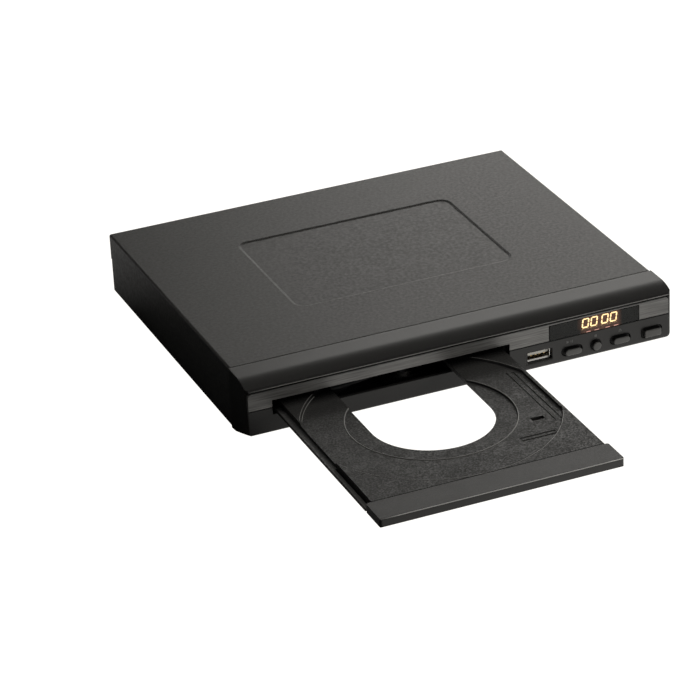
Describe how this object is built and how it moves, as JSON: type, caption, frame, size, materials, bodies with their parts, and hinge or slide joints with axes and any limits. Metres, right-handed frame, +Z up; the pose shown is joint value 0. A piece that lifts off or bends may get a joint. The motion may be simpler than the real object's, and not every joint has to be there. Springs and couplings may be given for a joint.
{
  "type": "dvd player with tray",
  "caption": "Compact disc player with an open motor-driven tray, lit figure display, front buttons and USB socket; gear train, lifting optical deck, clamp and circuit boards inside.",
  "frame": {"origin": "middle of the whole footprint with the tray out, on the plane the feet stand on", "axes": "+Z up, +Y to the rear with the tray sliding out along -Y, +X to the right seen from the front"},
  "size_m": [0.2272, 0.325, 0.0352],
  "materials": {
    "cover_paint": "fine satin texture paint",
    "bare_sheet": "zinc plated sheet",
    "bright_steel": "fine brushed",
    "panel_plastic": "semi-gloss moulded",
    "trim_strip": "dark brushed",
    "window_plastic": "smoked, clear gloss",
    "button_plastic": "satin",
    "tray_plastic": "fine spark-eroded texture",
    "bezel_plastic": "satin",
    "black_plastic": "moulded",
    "white_plastic": "natural acetal",
    "light_bars": "lit amber figures",
    "yellow_plastic": "moulded",
    "red_plastic": "moulded",
    "rubber": "soft moulded",
    "green_board": "solder-masked laminate",
    "tan_board": "paper laminate",
    "ferrite": "sintered",
    "winding_tape": "polyester tape",
    "cap_sleeve": "shrink sleeve",
    "alu": "extruded",
    "bright_plating": "nickel plated",
    "brass": "drawn",
    "fuse_glass": "clear tube",
    "lens_glass": "coated lens",
    "wire_sleeve": "flexible insulation",
    "cable_film": "flat cable film",
    "motor_case": "drawn can",
    "sled_metal": "die-cast zinc"
  },
  "bodies": {
    "case": {"top_cover": "cover_paint", "bottom_chassis": "bare_sheet", "feet": "rubber", "case_screws": "bright_steel", "inner_screws": "bright_steel", "front_panel": "panel_plastic", "fascia_strip": "trim_strip", "display_window": "window_plastic", "front_board": "tan_board", "tact_switches": "black_plastic", "usb_shell": "bright_plating", "usb_tongue": "white_plastic", "display_module": "black_plastic", "display_digits": "light_bars", "ir_receiver": "black_plastic", "loader_frame": "black_plastic", "clamp_bridge": "bright_steel", "loading_motor": "motor_case", "drive_belt": "rubber", "main_board": "green_board", "board_chips": "black_plastic", "heat_sinks": "alu", "socket_block": "black_plastic", "socket_barrels": "bright_plating", "video_collar": "yellow_plastic", "left_collar": "white_plastic", "right_collar": "red_plastic", "digital_socket": "bright_plating", "mains_inlet": "black_plastic", "inlet_pins": "brass", "mains_wires": "wire_sleeve", "power_board": "tan_board", "transformer_core": "ferrite", "transformer_winding": "winding_tape", "capacitors": "cap_sleeve", "fuse": "fuse_glass", "board_connectors": "white_plastic", "flat_cables": "cable_film"},
    "tray": {"disc_tray": "tray_plastic", "tray_bezel": "bezel_plastic"},
    "drive_gear_body": {"drive_gear": "white_plastic"},
    "pulley_gear_body": {"pulley_gear": "white_plastic"},
    "motor_pulley_body": {"motor_pulley": "white_plastic"},
    "cam": {"cam_slider": "white_plastic"},
    "deck": {"swing_frame": "black_plastic", "deck_plate": "bare_sheet", "dampers": "rubber", "spindle_motor": "motor_case", "guide_rods": "bright_plating", "sled_motor": "motor_case"},
    "turntable_body": {"turntable": "white_plastic"},
    "pickup": {"pickup_body": "sled_metal", "objective_lens": "lens_glass"},
    "screw": {"lead_screw": "bright_plating"},
    "clamp": {"clamper": "white_plastic", "clamper_plate": "bright_steel"},
    "play": {"play_button": "button_plastic"},
    "stop": {"stop_button": "button_plastic"},
    "eject": {"eject_button": "button_plastic"},
    "power": {"power_button": "button_plastic"}
  },
  "joints": [
    {"name": "tray_slide", "type": "slide", "parent": "case", "child": "tray", "axis": [0, 1, 0], "range_m": [0, 0.1244]},
    {"name": "drive_spin", "type": "hinge", "parent": "case", "child": "drive_gear_body", "pos_m": [-0.0801, -0.0137, 0.012], "axis": [0, 0, 1], "range_deg": [-713, 0]},
    {"name": "pulley_spin", "type": "hinge", "parent": "case", "child": "pulley_gear_body", "pos_m": [-0.0609, -0.0137, 0.012], "axis": [0, 0, 1], "range_deg": [0, 2139]},
    {"name": "motor_spin", "type": "hinge", "parent": "case", "child": "motor_pulley_body", "pos_m": [-0.0229, -0.0137, 0.012], "axis": [0, 0, 1], "range_deg": [0, 7698]},
    {"name": "cam_slide", "type": "slide", "parent": "case", "child": "cam", "axis": [1, 0, 0], "range_m": [0, 0.014]},
    {"name": "deck_lift", "type": "hinge", "parent": "case", "child": "deck", "pos_m": [-0.0378, 0.1153, 0.011], "axis": [-1, 0, 0], "range_deg": [0, 3.5]},
    {"name": "turntable_spin", "type": "hinge", "parent": "deck", "child": "turntable_body", "pos_m": [-0.0378, 0.04089, 0.01547], "axis": [0, -0.061, 0.9981], "continuous": true},
    {"name": "pickup_slide", "type": "slide", "parent": "deck", "child": "pickup", "axis": [0, 0.9981, 0.061], "range_m": [0, 0.034]},
    {"name": "screw_spin", "type": "hinge", "parent": "deck", "child": "screw", "pos_m": [-0.0103, 0.0622, 0.01096], "axis": [0, 0.9981, 0.061], "range_deg": [0, 4081]},
    {"name": "clamp_spin", "type": "hinge", "parent": "case", "child": "clamp", "pos_m": [-0.0378, 0.0413, 0.027], "axis": [0, 0, 1], "continuous": true},
    {"name": "play_press", "type": "slide", "parent": "case", "child": "play", "axis": [0, 1, 0], "range_m": [0, 0.0008], "stiffness_N_per_m": 400},
    {"name": "stop_press", "type": "slide", "parent": "case", "child": "stop", "axis": [0, 1, 0], "range_m": [0, 0.0008], "stiffness_N_per_m": 400},
    {"name": "eject_press", "type": "slide", "parent": "case", "child": "eject", "axis": [0, 1, 0], "range_m": [0, 0.0008], "stiffness_N_per_m": 400},
    {"name": "power_press", "type": "slide", "parent": "case", "child": "power", "axis": [0, 1, 0], "range_m": [0, 0.0008], "stiffness_N_per_m": 400}
  ],
  "couplings": [
    {"joint": "drive_spin", "follows": "tray_slide", "rad_per_m": -100},
    {"joint": "pulley_spin", "follows": "tray_slide", "rad_per_m": 300},
    {"joint": "motor_spin", "follows": "tray_slide", "rad_per_m": 1080},
    {"joint": "deck_lift", "follows": "cam_slide", "rad_per_m": 4.3633},
    {"joint": "screw_spin", "follows": "pickup_slide", "rad_per_m": 2094.4}
  ]
}
